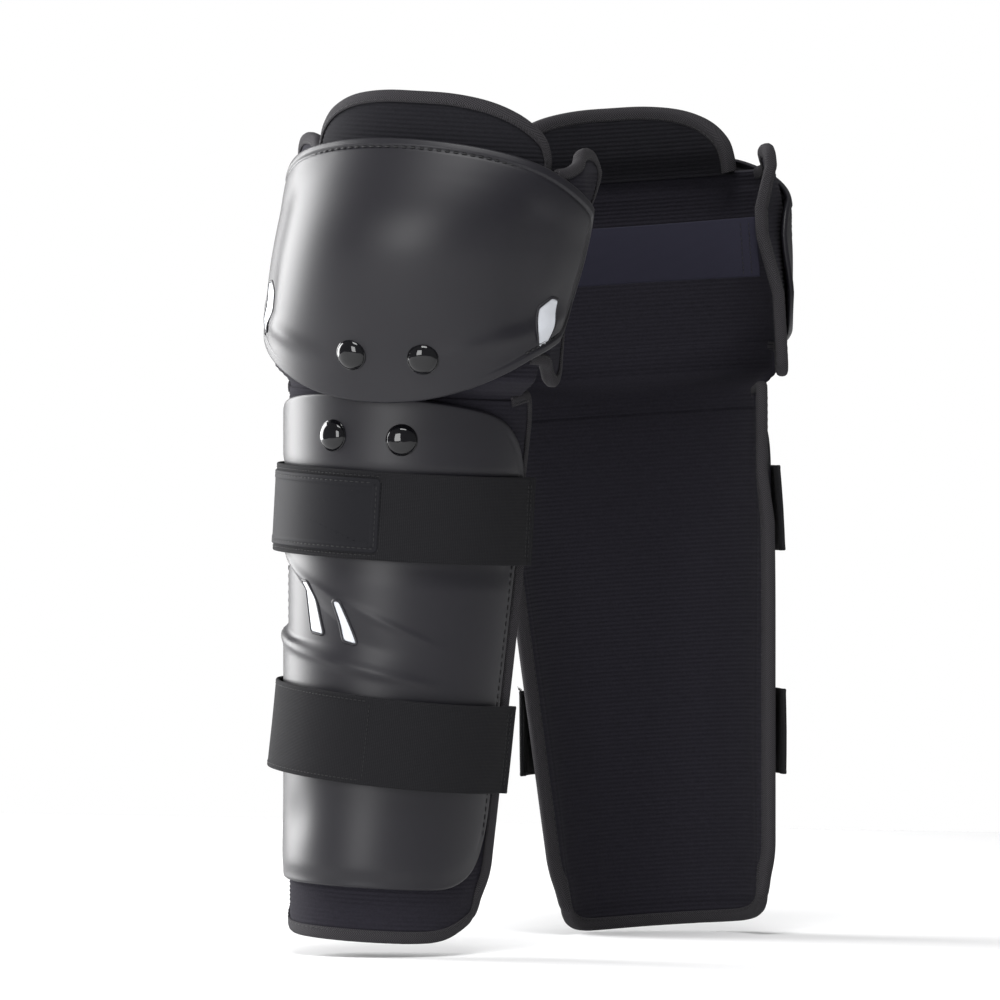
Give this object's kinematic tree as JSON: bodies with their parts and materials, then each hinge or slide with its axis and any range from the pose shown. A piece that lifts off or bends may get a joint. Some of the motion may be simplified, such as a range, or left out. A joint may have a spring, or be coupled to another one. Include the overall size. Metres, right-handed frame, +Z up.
{
  "type": "pair of knee and shin guards",
  "caption": "Pair of hard-shell knee and shin guards: hinged knee cups over shin shells, padded liners with bound edges and elastic hook-and-loop straps.",
  "frame": {"origin": "on the right leg's axis at the height of the right guard's knee joint; the right guard faces -Y, the left one stands behind it, turned away from it", "axes": "+Z up along the guards' length, +X across the right guard towards the wearer's left"},
  "size_m": [0.2185, 0.4242, 0.4867],
  "materials": {
    "shell_plastic": "satin moulded plastic, fine grain",
    "reflector": "light grey reflective insert",
    "rivet_cap": "gloss black domed cap",
    "washer_steel": "plain zinc washer",
    "webbing": "woven webbing",
    "cover_fabric": "brushed knit cover",
    "foam": "closed-cell foam, sealed inside the liner",
    "ribbed_lining": "ribbed velour lining",
    "binding_tape": "herringbone woven tape",
    "tongue_fabric": "ribbed knit over foam",
    "elastic": "woven elastic",
    "smooth_elastic": "smooth knitted elastic",
    "hook_tape": "hook side of hook-and-loop tape",
    "badge_rubber": "matte blank patch"
  },
  "bodies": {
    "right_shin": {"right_shin_shell": "shell_plastic", "right_shin_inserts": "reflector", "right_shin_rivets": "rivet_cap", "right_shin_washers": "washer_steel", "right_link_straps": "webbing", "right_flex_panel": "cover_fabric", "right_shin_cover": "cover_fabric", "right_shin_foam": "foam", "right_shin_lining": "ribbed_lining", "right_shin_binding": "binding_tape"},
    "right_knee": {"right_knee_cup": "shell_plastic", "right_cup_inserts": "reflector", "right_cup_rivets": "rivet_cap", "right_cup_washers": "washer_steel", "right_knee_cover": "cover_fabric", "right_knee_foam": "foam", "right_knee_lining": "ribbed_lining", "right_knee_binding": "binding_tape", "right_tongue": "tongue_fabric", "right_tongue_binding": "binding_tape"},
    "right_upper_strap": {"right_upper_strap": "elastic", "right_upper_hook": "hook_tape", "right_strap_badge": "badge_rubber"},
    "right_lower_strap": {"right_lower_strap": "elastic", "right_lower_hook": "hook_tape"},
    "right_knee_strap": {"right_knee_strap": "smooth_elastic"},
    "left_shin": {"left_shin_shell": "shell_plastic", "left_shin_inserts": "reflector", "left_shin_rivets": "rivet_cap", "left_shin_washers": "washer_steel", "left_link_straps": "webbing", "left_flex_panel": "cover_fabric", "left_shin_cover": "cover_fabric", "left_shin_foam": "foam", "left_shin_lining": "ribbed_lining", "left_shin_binding": "binding_tape"},
    "left_knee": {"left_knee_cup": "shell_plastic", "left_cup_inserts": "reflector", "left_cup_rivets": "rivet_cap", "left_cup_washers": "washer_steel", "left_knee_cover": "cover_fabric", "left_knee_foam": "foam", "left_knee_lining": "ribbed_lining", "left_knee_binding": "binding_tape", "left_tongue": "tongue_fabric", "left_tongue_binding": "binding_tape"},
    "left_upper_strap": {"left_upper_strap": "elastic", "left_upper_hook": "hook_tape", "left_strap_badge": "badge_rubber"},
    "left_lower_strap": {"left_lower_strap": "elastic", "left_lower_hook": "hook_tape"},
    "left_knee_strap": {"left_knee_strap": "smooth_elastic"}
  },
  "joints": [
    {"name": "right_knee_bend", "type": "hinge", "parent": "right_shin", "child": "right_knee", "pos_m": [0, -0.07, 0], "axis": [0.9983, 0, -0.0576], "range_deg": [-38, 4], "stiffness_Nm_per_rad": 0.8, "deforming": ["right_flex_panel", "right_link_straps"]},
    {"name": "right_upper_strap_open", "type": "hinge", "parent": "right_shin", "child": "right_upper_strap", "pos_m": [0.0707, 0.003, -0.10074], "axis": [0.0576, 0, 0.9983], "range_deg": [0, 95]},
    {"name": "right_lower_strap_open", "type": "hinge", "parent": "right_shin", "child": "right_lower_strap", "pos_m": [0.05584, 0.003, -0.23016], "axis": [0.1149, 0, 0.9934], "range_deg": [0, 95]},
    {"name": "right_knee_strap_open", "type": "hinge", "parent": "right_knee", "child": "right_knee_strap", "pos_m": [0.0851, 0.0089, 0.0592], "axis": [-0.0576, 0, -0.9983], "range_deg": [0, 68]},
    {"name": "left_knee_bend", "type": "hinge", "parent": "left_shin", "child": "left_knee", "pos_m": [0.01678, 0.2949, -0.006], "axis": [-0.9251, -0.3738, -0.0663], "range_deg": [-38, 4], "stiffness_Nm_per_rad": 0.8, "deforming": ["left_flex_panel", "left_link_straps"]},
    {"name": "pair_apart", "type": "slide", "parent": "right_shin", "child": "left_shin", "axis": [1, 0, 0], "range_m": [0, 0.3]},
    {"name": "left_upper_strap_open", "type": "hinge", "parent": "left_shin", "child": "left_upper_strap", "pos_m": [0.12737, 0.26085, -0.09675], "axis": [0.0614, 0.0248, -0.9978], "range_deg": [0, 95]},
    {"name": "left_lower_strap_open", "type": "hinge", "parent": "left_shin", "child": "left_lower_strap", "pos_m": [0.12789, 0.26106, -0.22743], "axis": [0.0081, 0.0033, -1], "range_deg": [0, 95]},
    {"name": "left_knee_strap_open", "type": "hinge", "parent": "left_knee", "child": "left_knee_strap", "pos_m": [0.11631, 0.25002, 0.06315], "axis": [-0.0614, -0.0248, 0.9978], "range_deg": [0, 68]}
  ]
}
